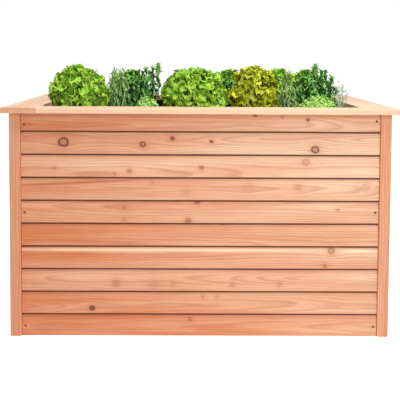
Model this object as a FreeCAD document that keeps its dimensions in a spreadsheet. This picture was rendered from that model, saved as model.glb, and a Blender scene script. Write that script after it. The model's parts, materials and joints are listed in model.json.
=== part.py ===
import FreeCAD, Part
import math
import os

import Sketcher
from FreeCAD import Placement, Rotation, Vector

# A raised garden bed: four walls of bevelled tongue-and-groove boards between
# square corner posts, under a flat overhanging cap, filled and planted.
# The bed stands on the ground plane with its long front wall towards -Y.
# All lengths are millimetres. Board 01 is the top board of every wall.

SIZES = (
    # the body and the rim
    ("BodyLength", 1320, "over the corner posts, along the front"),
    ("BodyWidth", 1200, "over the corner posts, front to back"),
    ("RimHeight", 800, "ground to the top of the cap"),
    ("EasedEdge", 2, "small bevel on the planed arrises"),
    # the corner posts and the boards between them
    ("PostFace", 38, "side of the square corner post"),
    ("BoardSetback", 10, "boards behind the faces of the posts"),
    ("BoardThick", 19, "thickness of a wall board"),
    ("BoardCount", 10, "boards up a wall"),
    ("TopRip", 20, "sawn off the top board, which fits under the cap"),
    ("BoardEndGap", 1, "board end to the side of the post"),
    ("BevelDepth", 7, "how far the front leans back at the top"),
    ("BevelHeight", 18, "height of the leaning part"),
    ("BevelBlend", 60, "radius that eases the bevel into the face"),
    ("SeamGap", 7, "open joint under the lip of the board above"),
    ("BackGap", 1, "open joint on the inner side"),
    ("TongueInset", 10, "front of the tongue behind the board's face"),
    ("TongueThick", 5, "thickness of the tongue"),
    ("TongueLength", 7, "tongue above the joint"),
    ("GrooveClearance", 0.3, "play of the tongue on each side"),
    # the square battens inside
    ("BattenSide", 44, "side of the square battens"),
    ("BattenBevel", 12, "bevel on the inner arris of a corner batten"),
    ("TieThick", 28, "thickness of the cross tie"),
    ("TieHeight", 44, "height of the cross tie"),
    ("TieRise", 400, "ground to the underside of the cross tie"),
    # the cap
    ("CapWidth", 120, "width of a cap board"),
    ("CapThick", 20, "thickness of a cap board"),
    ("CapOverhang", 26, "cap beyond the faces of the posts"),
    ("CapGap", 1, "open joint between two cap boards"),
    # liner, mesh and filling
    ("LinerThick", 1.5, "sheet that keeps the soil off the boards"),
    ("LinerClearance", 0.5, "air beside the liner"),
    ("LinerDrop", 6, "top of the liner below the underside of the cap"),
    ("MeshRise", 5, "ground to the underside of the mesh"),
    ("MeshThick", 3, "thickness of the mesh"),
    ("MeshWire", 4, "width of a bar of the mesh"),
    ("MeshPitch", 80, "one bar of the mesh to the next"),
    ("DrainageDepth", 190, "depth of the branches at the bottom"),
    ("CompostDepth", 290, "depth of the compost over them"),
    ("SoilDrop", 65, "surface of the soil below the top of the cap"),
    ("PlanLength", 1132, "room inside the cap that the planting was drawn for, along"),
    ("PlanWidth", 1012, "the same room, front to back"),
    # the screws
    ("ScrewShank", 4.5, "diameter of a screw"),
    ("ScrewHead", 9, "diameter of a countersunk head"),
    ("ScrewHeadDepth", 4, "depth of a countersunk head"),
    ("ScrewPoint", 6, "length of the tapered point"),
    ("DriveWidth", 4, "across the flats of the drive recess"),
    ("DriveDepth", 2, "depth of the drive recess"),
    ("ScrewClearance", 0.3, "play around a screw in its hole"),
    ("BoardScrewLength", 35, "wall board into corner batten"),
    ("BoardScrewInset", 12, "screw from the end of a wall board"),
    ("CapScrewLength", 50, "cap into board, batten or post"),
    ("CapScrewInset", 30, "screw from the butted end of a cap board"),
    ("PostScrewLength", 75, "corner batten into post, on the diagonal"),
    ("BattenScrewLength", 55, "middle batten into a wall board"),
    ("TieScrewLength", 50, "cross tie into middle batten"),
    ("TieScrewSpacing", 20, "two screws at each end of the cross tie"),
    ("ClumpRadius", 40, "a clump of frilled leaves on a lettuce"),
    ("ClumpRelief", 18, "how far the clumps stand out from the heart of a lettuce"),
)

# The planting plan. Each plant is the closed form that its leaves fill: half
# width, half depth and height over the soil, how many degrees the form draws in
# under its widest part, and its places, from the middle of the bed. The plan is
# stretched with the room inside the cap, so neighbours keep clear of each other.
PLANTS = (
    ("curly_lettuce_left", 102, 100, 214, 50, ((-453, -366),)),
    ("sage_sprigs", 46, 50, 204, 35, ((-302, -342),)),
    ("oregano_left", 60, 60, 218, 35, ((-191, -330),)),
    ("curly_lettuce_middle", 124, 116, 207, 50, ((-11, -378),)),
    ("yellow_lettuce", 104, 100, 212, 50, ((203, -277),)),
    ("mint_sprigs", 44, 44, 196, 35, ((313, -396),)),
    ("oregano_right", 74, 70, 218, 35, ((412, -330),)),
    ("herb_mound_left", 54, 45, 100, 10, ((-191, -460),)),
    ("herb_mound_right", 90, 45, 106, 10, ((420, -460),)),
    ("silver_herb", 27, 30, 160, 35, ((516, -366),)),
    ("middle_row_lettuces", 106, 104, 196, 50, ((-456, 13), (-50, 18), (314, 4))),
    ("middle_row_herbs", 66, 66, 190, 35, ((-265, 10), (132, 14), (496, 14))),
    ("back_row_lettuces", 104, 100, 190, 50, ((-301, 379), (128, 370), (460, 375))),
    ("back_row_herbs", 60, 60, 184, 35, ((-500, 373), (-90, 378), (295, 378))),
)

# The leaves of a lettuce stand in rings of clumps: how far up the head each ring
# is, how much of the head's width it spans, and how many clumps it has.
CLUMP_RINGS = ((0.10, 0.92, 7), (0.45, 1.0, 7), (0.80, 0.68, 4), (1.0, 0.0, 1))

# The screws were driven by hand: how far each sits above the middle of its
# board, at the left and the right end, in the top, middle and bottom boards.
SCREW_RISES = ((-10, 6), (-5, -2), (-5, -7))

# Heights of the screws that hold a corner batten to its post, as shares of the
# height of the posts, kept away from the boards' own screws.
POST_SCREW_SHARES = (0.13, 0.48, 0.87)

doc = FreeCAD.newDocument("RaisedGardenBed")
sheet = doc.addObject("Spreadsheet::Sheet", "Sizes")
nodes = []
bevelled = []


def alias_of(name, ending):
    """The word under which a plant's own size stands in the sheet."""
    return "".join(word.capitalize() for word in name.split("_")) + ending


def fill_sheet():
    """Write every driving size to the sheet: its name, its value, what it is."""
    rows = list(SIZES)
    for name, half_width, half_depth, height, undercut, _ in PLANTS:
        rows.append((alias_of(name, "HalfWidth"), half_width, "half width of the leaves"))
        rows.append((alias_of(name, "HalfDepth"), half_depth, "half depth of the leaves"))
        rows.append((alias_of(name, "Height"), height, "leaves above the soil"))
        rows.append((alias_of(name, "Undercut"), undercut, "degrees drawn in below the widest part"))
    for row, (alias, value, meaning) in enumerate(rows, start=1):
        sheet.set(f"A{row}", alias)
        sheet.set(f"B{row}", str(value))
        sheet.setAlias(f"B{row}", alias)
        sheet.set(f"C{row}", meaning)
    doc.recompute()


def value(expression):
    """The number that an expression on the sheet's sizes gives now."""
    return float(sheet.evalExpression(expression))


def size(alias):
    return f"Sizes.{alias}"


# Lines that several pieces share, written on the sheet's sizes.
HALF_LENGTH = "Sizes.BodyLength / 2"
HALF_WIDTH = "Sizes.BodyWidth / 2"
WALL_DEPTH = "(Sizes.BoardSetback + Sizes.BoardThick)"
POST_TOP = "(Sizes.RimHeight - Sizes.CapThick)"
MESH_TOP = "(Sizes.MeshRise + Sizes.MeshThick)"
SOIL_TOP = "(Sizes.RimHeight - Sizes.SoilDrop)"
LINER_INNER = "(2 * Sizes.LinerClearance + Sizes.LinerThick)"
BOARD_START = "(Sizes.PostFace + Sizes.BoardEndGap)"
CAP_INNER = "(Sizes.CapWidth - Sizes.CapOverhang)"
BOARD_PITCH = f"(({POST_TOP} + Sizes.TopRip) / Sizes.BoardCount)"
STRETCH_X = f"((Sizes.BodyLength - 2 * {CAP_INNER}) / Sizes.PlanLength)"
STRETCH_Y = f"((Sizes.BodyWidth - 2 * {CAP_INNER}) / Sizes.PlanWidth)"


def finish(piece, label):
    """Give a piece its own name and count it as a sub-part."""
    piece.Label = label
    nodes.append(piece)
    return piece


def place(piece, x, y, z, turn=0):
    """Stand a piece at a point given by three expressions, turned about Z."""
    piece.Placement = Placement(Vector(), Rotation(Vector(0, 0, 1), turn))
    for axis, expression in zip("xyz", (x, y, z)):
        piece.setExpression(f"Placement.Base.{axis}", expression)
    return piece


def outline(sketch, corners):
    """Draw a closed outline whose corners are pairs of expressions."""
    first = sketch.GeometryCount
    points = [Vector(value(across), value(along), 0) for across, along in corners]
    for point, following in zip(points, points[1:] + points[:1]):
        sketch.addGeometry(Part.LineSegment(point, following), False)
    for index, (corner, point) in enumerate(zip(corners, points)):
        line = first + index
        following = first + (index + 1) % len(corners)
        sketch.addConstraint(Sketcher.Constraint("Coincident", line, 2, following, 1))
        for kind, expression, now in zip(("DistanceX", "DistanceY"), corner, point):
            number = sketch.addConstraint(Sketcher.Constraint(kind, -1, 1, line, 1, now))
            sketch.setExpression(f"Constraints[{number}]", expression)


def padded(name, plane, outlines, length):
    """A body padded from a sketch of one or more closed outlines."""
    body = doc.addObject("PartDesign::Body", name)
    sketch = body.newObject("Sketcher::SketchObject", f"{name}_section")
    base = [part for part in body.Origin.OriginFeatures if part.Role == plane]
    sketch.AttachmentSupport = (base[0], [""])
    sketch.MapMode = "FlatFace"
    for corners in outlines:
        outline(sketch, corners)
    pad = body.newObject("PartDesign::Pad", f"{name}_pad")
    pad.Profile = sketch
    pad.setExpression("Length", length)
    body.Tip = pad
    return body


def eased_rectangle(wide, deep):
    """A planed section with its four arrises eased."""
    ease = size("EasedEdge")
    return [
        (ease, "0"), (f"{wide} - {ease}", "0"), (wide, ease), (wide, f"{deep} - {ease}"),
        (f"{wide} - {ease}", deep), (ease, deep), ("0", f"{deep} - {ease}"), ("0", ease),
    ]


# ---- screws: one countersunk pattern, copied to every place it is driven ----

def screw_solid(length, play=0):
    """A countersunk screw along -Z with its head flush at the origin, or, with
    play, the hole that it goes into."""
    head = value(size("ScrewHead")) / 2 + play
    shank = value(size("ScrewShank")) / 2 + play
    head_depth = value(size("ScrewHeadDepth"))
    point = value(size("ScrewPoint"))
    down = Vector(0, 0, -1)
    solid = Part.makeCone(head, shank, head_depth, Vector(), down)
    if play:
        return solid.fuse(Part.makeCylinder(shank, length + play, Vector(), down)).removeSplitter()
    shank_length = length - head_depth - point
    solid = solid.fuse(Part.makeCylinder(shank, shank_length, Vector(0, 0, -head_depth), down))
    solid = solid.fuse(Part.makeCone(shank, shank / 4, point, Vector(0, 0, point - length), down))
    corner = value(size("DriveWidth")) / math.sqrt(3)
    ring = [Vector(corner * math.cos(math.radians(angle)), corner * math.sin(math.radians(angle)), 0)
            for angle in range(0, 361, 60)]
    recess = Part.Face(Part.makePolygon(ring)).extrude(down * value(size("DriveDepth")))
    return solid.cut(recess).removeSplitter()


def wall_frames():
    """Each wall seen from outside: its name, turn about Z, the outer corner where
    its left post stands, as two expressions, and its length over the posts."""
    return (
        ("front", 0, f"-{HALF_LENGTH}", f"-{HALF_WIDTH}", size("BodyLength")),
        ("right", 90, HALF_LENGTH, f"-{HALF_WIDTH}", size("BodyWidth")),
        ("back", 180, HALF_LENGTH, HALF_WIDTH, size("BodyLength")),
        ("left", -90, f"-{HALF_LENGTH}", HALF_WIDTH, size("BodyWidth")),
    )


def to_wall(turn, corner_x, corner_y, along, inward):
    """A wall's own (along, inward) point as two expressions in the bed's frame."""
    cosine, sine = {0: (1, 0), 90: (0, 1), 180: (-1, 0), -90: (0, -1)}[turn]
    x = f"{corner_x} + ({cosine}) * ({along}) - ({sine}) * ({inward})"
    y = f"{corner_y} + ({sine}) * ({along}) + ({cosine}) * ({inward})"
    return x, y


def driven(frame, along, inward, height, direction):
    """Where a screw sits on a wall and which way it is driven there."""
    _, turn, corner_x, corner_y, _ = frame
    x, y = to_wall(turn, corner_x, corner_y, along, inward)
    turned = Rotation(Vector(0, 0, 1), turn).multVec(Vector(*direction))
    return Vector(value(x), value(y), height), turned


def board_count():
    return round(value(size("BoardCount")))


def course_span(course):
    """Lowest and highest line of a board's visible height, as expressions."""
    bottom = f"{BOARD_PITCH} * {board_count() - course}"
    return bottom, (POST_TOP if course == 1 else f"{bottom} + {BOARD_PITCH}")


def screwed_courses():
    return (1, (board_count() + 1) // 2, board_count())


def board_screw_places():
    for frame in wall_frames():
        inset = f"({BOARD_START} + Sizes.BoardScrewInset)"
        ends = (inset, f"{frame[4]} - {inset}")
        for course, rises in zip(screwed_courses(), SCREW_RISES):
            low, high = course_span(course)
            middle = value(f"({low} + {high}) / 2")
            for end, rise in zip(ends, rises):
                yield driven(frame, end, size("BoardSetback"), middle + rise, (0, 1, 0))


def cap_screw_places():
    """A row into the boards and the post, and one into the corner batten."""
    for frame in wall_frames():
        line = "Sizes.PostFace / 2"
        inner = f"({WALL_DEPTH} + Sizes.BattenSide * 2 / 3)"
        butted = f"{CAP_INNER} + Sizes.CapGap + Sizes.CapScrewInset"
        through = f"{frame[4]} - {line}"
        thirds = [f"({butted}) + (({through}) - ({butted})) * {share} / 3" for share in range(3)]
        for along in (*thirds, through):
            yield driven(frame, along, line, value(size("RimHeight")), (0, 0, -1))
        yield driven(frame, f"{frame[4]} - {inner}", inner, value(size("RimHeight")), (0, 0, -1))


def post_screw_places():
    for frame in wall_frames():
        corner = f"{WALL_DEPTH} + Sizes.BattenSide - Sizes.BattenBevel / 2"
        for share in POST_SCREW_SHARES:
            yield driven(frame, corner, corner, value(POST_TOP) * share, (-1, -1, 0))


def batten_screw_places():
    for frame in (wall_frames()[0], wall_frames()[2]):
        inner = f"{WALL_DEPTH} + Sizes.BattenSide"
        for course in screwed_courses():
            low, high = course_span(course)
            yield driven(frame, f"{frame[4]} / 2", inner, value(f"({low} + {high}) / 2"), (0, -1, 0))


def tie_screw_places():
    for side in (-1, 1):
        y = side * value(f"{HALF_WIDTH} - {WALL_DEPTH} - Sizes.BattenSide / 2")
        for step in (-0.5, 0.5):
            z = value(f"Sizes.TieRise + Sizes.TieHeight / 2 + Sizes.TieScrewSpacing * ({step})")
            x = value(f"Sizes.BattenSide / 2 + {LINER_INNER} + Sizes.TieThick")
            yield Vector(x, y, z), Vector(-1, 0, 0)


def screw_solids(runs, play=0):
    """Separate screws, or their holes, at every place where they are driven."""
    solids = []
    for length, places in runs:
        pattern = screw_solid(value(size(length)), play)
        for position, direction in places:
            solid = pattern.copy()
            solid.Placement = Placement(position, Rotation(Vector(0, 0, -1), direction))
            solids.append(solid)
    return solids


def screw_runs():
    """Each group of screws: the length of a screw and the places it is driven."""
    return {
        "board_screws": [("BoardScrewLength", list(board_screw_places()))],
        "cap_screws": [("CapScrewLength", list(cap_screw_places()))],
        "batten_screws": [
            ("PostScrewLength", list(post_screw_places())),
            ("BattenScrewLength", list(batten_screw_places())),
            ("TieScrewLength", list(tie_screw_places())),
        ],
    }


def make_screws(groups):
    for name, runs in groups.items():
        group = doc.addObject("Part::Feature", name)
        group.Shape = Part.makeCompound(screw_solids(runs))
        finish(group, name)


def drilled(blank, label):
    """A piece that is its blank with a hole for every screw that enters it."""
    piece = doc.addObject("Part::Cut", label)
    piece.Base = blank
    return finish(piece, label)


def drill_holes(runs):
    """Give each drilled piece the holes of the screws that reach into its blank."""
    holes = screw_solids(runs, value(size("ScrewClearance")))
    for piece in nodes:
        if piece.TypeId == "Part::Cut" and piece.Tool is None:
            room = piece.Base.Shape.BoundBox
            tool = doc.addObject("Part::Feature", f"{piece.Label}_holes")
            tool.Shape = Part.makeCompound([hole for hole in holes if hole.BoundBox.intersect(room)])
            piece.Tool = tool


# ---- walls ----

def board_section(course, count):
    """Section of a wall board: depth behind its face, height above its lip. The
    top board is ripped square under the cap, the bottom board has no groove."""
    low, high = course_span(course)
    thick = size("BoardThick")
    corners = [("0", "0")]
    if course < count:
        groove_front = "Sizes.TongueInset - Sizes.GrooveClearance"
        groove_back = "Sizes.TongueInset + Sizes.TongueThick + Sizes.GrooveClearance"
        groove_top = "Sizes.TongueLength + Sizes.BackGap"
        corners += [(groove_front, "0"), (groove_front, groove_top)]
        corners += [(groove_back, groove_top), (groove_back, "0")]
    corners.append((thick, "0"))
    if course == 1:
        rip = f"{high} - {low}"
        return corners + [(thick, rip), ("0", rip)]
    tongue_back = "Sizes.TongueInset + Sizes.TongueThick"
    shoulder = f"{BOARD_PITCH} - Sizes.SeamGap"
    corners += [
        (thick, f"{BOARD_PITCH} - Sizes.BackGap"),
        (tongue_back, f"{BOARD_PITCH} - Sizes.BackGap"),
        (tongue_back, f"{BOARD_PITCH} + Sizes.TongueLength"),
        (size("TongueInset"), f"{BOARD_PITCH} + Sizes.TongueLength"),
        (size("TongueInset"), shoulder),
        (size("BevelDepth"), shoulder),
        ("0", f"{shoulder} - Sizes.BevelHeight"),
    ]
    return corners


def soften_bevels():
    """Ease the line where each bevel meets the face, within what the bevel holds."""
    height = value(f"{BOARD_PITCH} - Sizes.SeamGap - Sizes.BevelHeight")
    bevel = math.atan2(value(size("BevelDepth")), value(size("BevelHeight")))
    slope = math.hypot(value(size("BevelDepth")), value(size("BevelHeight")))
    room = 0.9 * min(slope, height) / math.tan(bevel / 2)
    for body in bevelled:
        pad = body.Tip
        for number, edge in enumerate(pad.Shape.Edges, start=1):
            ends = [vertex.Point for vertex in edge.Vertexes]
            if all(abs(end.y) < 1e-6 and abs(end.z - height) < 1e-6 for end in ends):
                fillet = body.newObject("PartDesign::Fillet", f"{body.Name}_fillet")
                fillet.Base = (pad, [f"Edge{number}"])
                fillet.Radius = min(value(size("BevelBlend")), room)
                body.Tip = fillet


def wall_board(frame, course, name):
    """One board of a wall, lying between two corner posts."""
    _, turn, corner_x, corner_y, wall_length = frame
    section = board_section(course, board_count())
    body = padded(name, "YZ_Plane", [section], f"{wall_length} - 2 * {BOARD_START}")
    if course > 1:
        bevelled.append(body)
    x, y = to_wall(turn, corner_x, corner_y, BOARD_START, size("BoardSetback"))
    return place(body, x, y, course_span(course)[0], turn)


def make_walls():
    """Front and back boards are nodes of their own; each side wall's boards,
    which share one section and length, are a group of separate solids."""
    count = board_count()
    for frame in wall_frames():
        wall = frame[0]
        if wall in ("front", "back"):
            for course in range(1, count + 1):
                label = f"{wall}_board_{course:02d}"
                if course in screwed_courses() or course == 2:
                    drilled(wall_board(frame, course, f"{label}_blank"), label)
                else:
                    finish(wall_board(frame, course, label), label)
            continue
        group = doc.addObject("Part::Compound", f"{wall}_wall_blanks")
        group.Links = [
            wall_board(frame, course, f"{wall}_board_{course:02d}_blank")
            for course in range(1, count + 1)
        ]
        drilled(group, f"{wall}_wall_boards")


def make_posts():
    """Corner posts, each rebated at its inner arris over the corner batten."""
    face, ease = size("PostFace"), size("EasedEdge")
    section = [
        (ease, "0"), (f"{face} - {ease}", "0"), (face, ease), (face, WALL_DEPTH),
        (WALL_DEPTH, WALL_DEPTH), (WALL_DEPTH, face), (ease, face),
        ("0", f"{face} - {ease}"), ("0", ease),
    ]
    side, bevel = size("BattenSide"), size("BattenBevel")
    batten_section = [
        ("0", "0"), (side, "0"), (side, f"{side} - {bevel}"), (f"{side} - {bevel}", side), ("0", side),
    ]
    corners = ("front_left", "front_right", "back_right", "back_left")
    for corner, frame in zip(corners, wall_frames()):
        _, turn, corner_x, corner_y, _ = frame
        post = padded(f"{corner}_post_blank", "XY_Plane", [section], POST_TOP)
        place(post, corner_x, corner_y, "0", turn)
        drilled(post, f"{corner}_post")
        batten = padded(
            f"{corner}_batten_blank", "XY_Plane", [batten_section], f"{POST_TOP} - {MESH_TOP}"
        )
        x, y = to_wall(turn, corner_x, corner_y, WALL_DEPTH, WALL_DEPTH)
        place(batten, x, y, MESH_TOP, turn)
        drilled(batten, f"{corner}_batten")


def make_middle_frame():
    """A batten in the middle of each long wall, and the tie between the two."""
    side = size("BattenSide")
    for frame in (wall_frames()[0], wall_frames()[2]):
        wall, turn, corner_x, corner_y, wall_length = frame
        blank = padded(
            f"{wall}_middle_batten_blank", "XY_Plane", [eased_rectangle(side, side)],
            f"{POST_TOP} - {MESH_TOP}",
        )
        x, y = to_wall(turn, corner_x, corner_y, f"({wall_length} - {side}) / 2", WALL_DEPTH)
        place(blank, x, y, MESH_TOP, turn)
        drilled(blank, f"{wall}_middle_batten")
    reach = f"({HALF_WIDTH} - {WALL_DEPTH} - {LINER_INNER})"
    blank = padded(
        "cross_tie_blank", "XZ_Plane", [eased_rectangle(size("TieThick"), size("TieHeight"))],
        f"2 * {reach}",
    )
    place(blank, f"{side} / 2 + {LINER_INNER}", reach, size("TieRise"))
    drilled(blank, "cross_tie")


def make_cap():
    """Four cap boards, laid so that each butts against one neighbour and runs
    past the other: seen from outside, the left end of each is the butted one."""
    for frame in wall_frames():
        wall, turn, corner_x, corner_y, wall_length = frame
        start = f"({CAP_INNER} + Sizes.CapGap)"
        blank = padded(
            f"{wall}_cap_blank", "YZ_Plane", [eased_rectangle(size("CapWidth"), size("CapThick"))],
            f"{wall_length} + Sizes.CapOverhang - {start}",
        )
        x, y = to_wall(turn, corner_x, corner_y, start, "-Sizes.CapOverhang")
        place(blank, x, y, POST_TOP, turn)
        drilled(blank, f"{wall}_cap")


# ---- inside ----

def inside_outline(inset):
    """The outline inside the walls, round the four corner battens and the two
    middle ones, an inset away from all of them."""
    wall_x = f"({HALF_LENGTH} - {WALL_DEPTH} - {inset})"
    wall_y = f"({HALF_WIDTH} - {WALL_DEPTH} - {inset})"
    notch_x = f"({wall_x} - Sizes.BattenSide)"
    notch_y = f"({wall_y} - Sizes.BattenSide)"
    middle = f"(Sizes.BattenSide / 2 + {inset})"
    quarter = [(middle, notch_y), (middle, wall_y), (notch_x, wall_y), (notch_x, notch_y), (wall_x, notch_y)]
    corners = [(x, f"-{y}") for x, y in quarter]
    corners += [(x, y) for x, y in reversed(quarter)]
    corners += [(f"-{x}", y) for x, y in quarter]
    corners += [(f"-{x}", f"-{y}") for x, y in reversed(quarter)]
    return corners


def make_inside(tie_room):
    """Liner, mesh, and the three layers of the filling."""
    liner_bottom = MESH_TOP
    liner = padded(
        "wall_liner_blank", "XY_Plane",
        [inside_outline(size("LinerClearance")),
         inside_outline("(Sizes.LinerClearance + Sizes.LinerThick)")],
        f"{POST_TOP} - Sizes.LinerDrop - {liner_bottom}",
    )
    place(liner, "0", "0", liner_bottom)
    drilled(liner, "wall_liner")
    compost_bottom = f"({MESH_TOP} + Sizes.DrainageDepth)"
    soil_bottom = f"({compost_bottom} + Sizes.CompostDepth)"
    layers = (
        ("drainage_layer", MESH_TOP, compost_bottom),
        ("compost_layer", compost_bottom, soil_bottom),
        ("topsoil", soil_bottom, SOIL_TOP),
    )
    for name, low, high in layers:
        blank = padded(f"{name}_blank", "XY_Plane", [inside_outline(LINER_INNER)], f"{high} - {low}")
        place(blank, "0", "0", low)
        layer = doc.addObject("Part::Cut", name)
        layer.Base = blank
        layer.Tool = tie_room
        finish(layer, name)


def make_tie_room():
    """The room that the filling leaves round the cross tie."""
    room = doc.addObject("Part::Box", "tie_room")
    play = size("LinerClearance")
    reach = f"({HALF_WIDTH} - {WALL_DEPTH})"
    room.setExpression("Length", f"Sizes.TieThick + {LINER_INNER} + {play}")
    room.setExpression("Width", f"2 * {reach}")
    room.setExpression("Height", f"Sizes.TieHeight + 2 * {play}")
    return place(room, "Sizes.BattenSide / 2", f"-{reach}", f"Sizes.TieRise - {play}")


def make_mesh():
    """The flat mesh under the filling, a plate with square openings."""
    pitch, wire = value(size("MeshPitch")), value(size("MeshWire"))
    half_x = value(f"{HALF_LENGTH} - {WALL_DEPTH} - Sizes.LinerClearance")
    half_y = value(f"{HALF_WIDTH} - {WALL_DEPTH} - Sizes.LinerClearance")
    across = int((2 * half_x - wire) // pitch)
    along = int((2 * half_y - wire) // pitch)

    def wire_loop(low_x, low_y, high_x, high_y):
        ring = [(low_x, low_y), (high_x, low_y), (high_x, high_y), (low_x, high_y), (low_x, low_y)]
        return Part.makePolygon([Vector(x, y, 0) for x, y in ring])

    loops = [wire_loop(-half_x, -half_y, half_x, half_y)]
    for column in range(across):
        for row in range(along):
            x = (column - across / 2) * pitch + wire / 2
            y = (row - along / 2) * pitch + wire / 2
            loops.append(wire_loop(x, y, x + pitch - wire, y + pitch - wire))
    mesh = doc.addObject("Part::Feature", "vole_mesh")
    mesh.Shape = Part.makeFace(loops, "Part::FaceMakerBullseye").extrude(Vector(0, 0, value(size("MeshThick"))))
    place(mesh, "0", "0", size("MeshRise"))
    finish(mesh, "vole_mesh")


# ---- plants ----

def plant_form(name, half_width, half_depth, height, undercut, x, y):
    """A rounded form that rests on the soil, widest above its cut base."""
    form = doc.addObject("Part::Ellipsoid", name)
    upright = f"{height} / (1 + sin({undercut} * 1deg))"
    form.setExpression("Radius1", upright)
    form.setExpression("Radius2", f"{half_width} * {STRETCH_X}")
    form.setExpression("Radius3", f"{half_depth} * {STRETCH_Y}")
    form.setExpression("Angle1", f"-{undercut}")
    rise = f"{SOIL_TOP} + {upright} * sin({undercut} * 1deg)"
    return place(form, f"{x} * {STRETCH_X}", f"{y} * {STRETCH_Y}", rise)


def lettuce_form(name, half_width, half_depth, height, undercut, x, y):
    """Rings of leaf clumps round a heart that rests on the soil."""
    clump = size("ClumpRadius")
    wide, deep = f"({half_width} * {STRETCH_X})", f"({half_depth} * {STRETCH_Y})"
    middle_x, middle_y = f"{x} * {STRETCH_X}", f"{y} * {STRETCH_Y}"
    heart = doc.addObject("Part::Sphere", f"{name}_heart")
    radius = f"(min({wide}; {deep}) - Sizes.ClumpRelief)"
    heart.setExpression("Radius", radius)
    heart.setExpression("Angle1", f"-{undercut}")
    place(heart, middle_x, middle_y, f"{SOIL_TOP} + {radius} * sin({undercut} * 1deg)")
    pieces = [heart]
    for share, span, count in CLUMP_RINGS:
        rise = f"{SOIL_TOP} + {clump} + ({height} - 2 * {clump}) * {share}"
        for number in range(count):
            angle = 2 * math.pi * (number + share) / count
            ball = doc.addObject("Part::Sphere", f"{name}_clump")
            ball.setExpression("Radius", clump)
            out_x = f"{middle_x} + ({wide} - {clump}) * {span * math.cos(angle):.4f}"
            out_y = f"{middle_y} + ({deep} - {clump}) * {span * math.sin(angle):.4f}"
            # the seam of each sphere is turned in to the heart, out of the other cuts
            pieces.append(place(ball, out_x, out_y, rise, math.degrees(angle) + 180))
    head = doc.addObject("Part::MultiFuse", name)
    head.Shapes = pieces
    head.Refine = False
    return head


def make_plants():
    """Plants lie as on the planting plan, whatever the size of the bed."""
    for name, _, _, _, _, places in PLANTS:
        sizes = [size(alias_of(name, ending)) for ending in ("HalfWidth", "HalfDepth", "Height", "Undercut")]
        form = lettuce_form if "lettuce" in name else plant_form
        first_x, first_y = places[0]
        first = form(name if len(places) == 1 else f"{name}_first", *sizes, first_x, first_y)
        if len(places) == 1:
            finish(first, name)
            continue
        row = [first]
        for x, y in places[1:]:
            copy = doc.addObject("App::Link", f"{name}_copy")
            copy.LinkedObject = first
            copy.LinkTransform = True
            row.append(place(copy, f"{x - first_x} * {STRETCH_X}", f"{y - first_y} * {STRETCH_Y}", "0"))
        group = doc.addObject("Part::Compound", name)
        group.Links = row
        finish(group, name)


# ---- build, check and write ----

def check_document():
    """Stop if anything in the document failed or a sub-part isn't a sound solid."""
    doc.recompute()
    failed = [item.Label for item in doc.Objects if {"Invalid", "Error"} & set(item.State)]
    for piece in nodes:
        shape = piece.Shape
        if shape.isNull() or not shape.isValid() or not shape.Solids:
            failed.append(piece.Label)
    if failed:
        raise RuntimeError(f"not sound: {failed}")


def main():
    fill_sheet()
    make_walls()
    make_posts()
    make_middle_frame()
    make_cap()
    make_inside(make_tie_room())
    make_mesh()
    make_plants()
    doc.recompute()
    soften_bevels()
    groups = screw_runs()
    drill_holes([run for runs in groups.values() for run in runs])
    make_screws(groups)
    check_document()
    os.makedirs("parts", exist_ok=True)
    for piece in nodes:
        piece.Shape.exportStep(f"parts/{piece.Label}.step")
    print(f"{len(nodes)} sub-parts, {sum(len(piece.Shape.Solids) for piece in nodes)} solids")


main()
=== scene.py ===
import json
import math
import random

import bpy
from mathutils import Matrix, Vector
from mathutils.bvhtree import BVHTree

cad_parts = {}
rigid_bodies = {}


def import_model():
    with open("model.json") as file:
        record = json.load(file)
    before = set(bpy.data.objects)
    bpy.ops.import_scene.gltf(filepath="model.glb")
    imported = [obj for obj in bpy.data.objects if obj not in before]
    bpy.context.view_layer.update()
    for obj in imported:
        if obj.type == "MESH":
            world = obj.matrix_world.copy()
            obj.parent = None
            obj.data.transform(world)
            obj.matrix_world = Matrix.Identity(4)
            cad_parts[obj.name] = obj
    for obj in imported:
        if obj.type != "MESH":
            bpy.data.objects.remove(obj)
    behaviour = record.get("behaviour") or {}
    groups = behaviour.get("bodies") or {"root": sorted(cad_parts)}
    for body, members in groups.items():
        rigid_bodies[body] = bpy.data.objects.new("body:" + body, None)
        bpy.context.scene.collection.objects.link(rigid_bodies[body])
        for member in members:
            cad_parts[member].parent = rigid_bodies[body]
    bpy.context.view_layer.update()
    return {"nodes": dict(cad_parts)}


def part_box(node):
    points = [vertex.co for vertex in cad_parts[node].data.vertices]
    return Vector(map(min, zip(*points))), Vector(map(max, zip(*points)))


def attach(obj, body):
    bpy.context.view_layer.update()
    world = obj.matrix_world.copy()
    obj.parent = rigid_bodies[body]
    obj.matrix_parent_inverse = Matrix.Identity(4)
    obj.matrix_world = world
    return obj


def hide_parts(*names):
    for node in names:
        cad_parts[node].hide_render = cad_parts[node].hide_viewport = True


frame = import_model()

# A raised garden bed in oiled Douglas fir, planted with lettuces and herbs.
# Lengths are metres unless a name ends in Mm. +X runs along the front wall.

nodes = frame["nodes"]
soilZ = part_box("topsoil")[1].z
mm = 0.001
goldenAngle = math.radians(137.5)    # from one leaf or stem to the next


def hexColour(text):
    channels = [int(text[i:i + 2], 16) / 255 for i in (1, 3, 5)]
    return (*[c / 12.92 if c <= 0.04045 else ((c + 0.055) / 1.055) ** 2.4 for c in channels], 1.0)


def addNode(tree, kind, inputs=None, **settings):
    # settings come first: a group node has no sockets until its tree is chosen
    node = tree.nodes.new(kind)
    for name, value in settings.items():
        setattr(node, name, value)
    for name, value in (inputs or {}).items():
        if isinstance(value, bpy.types.NodeSocket):
            tree.links.new(value, node.inputs[name])
        else:
            node.inputs[name].default_value = value
    return node


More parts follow.
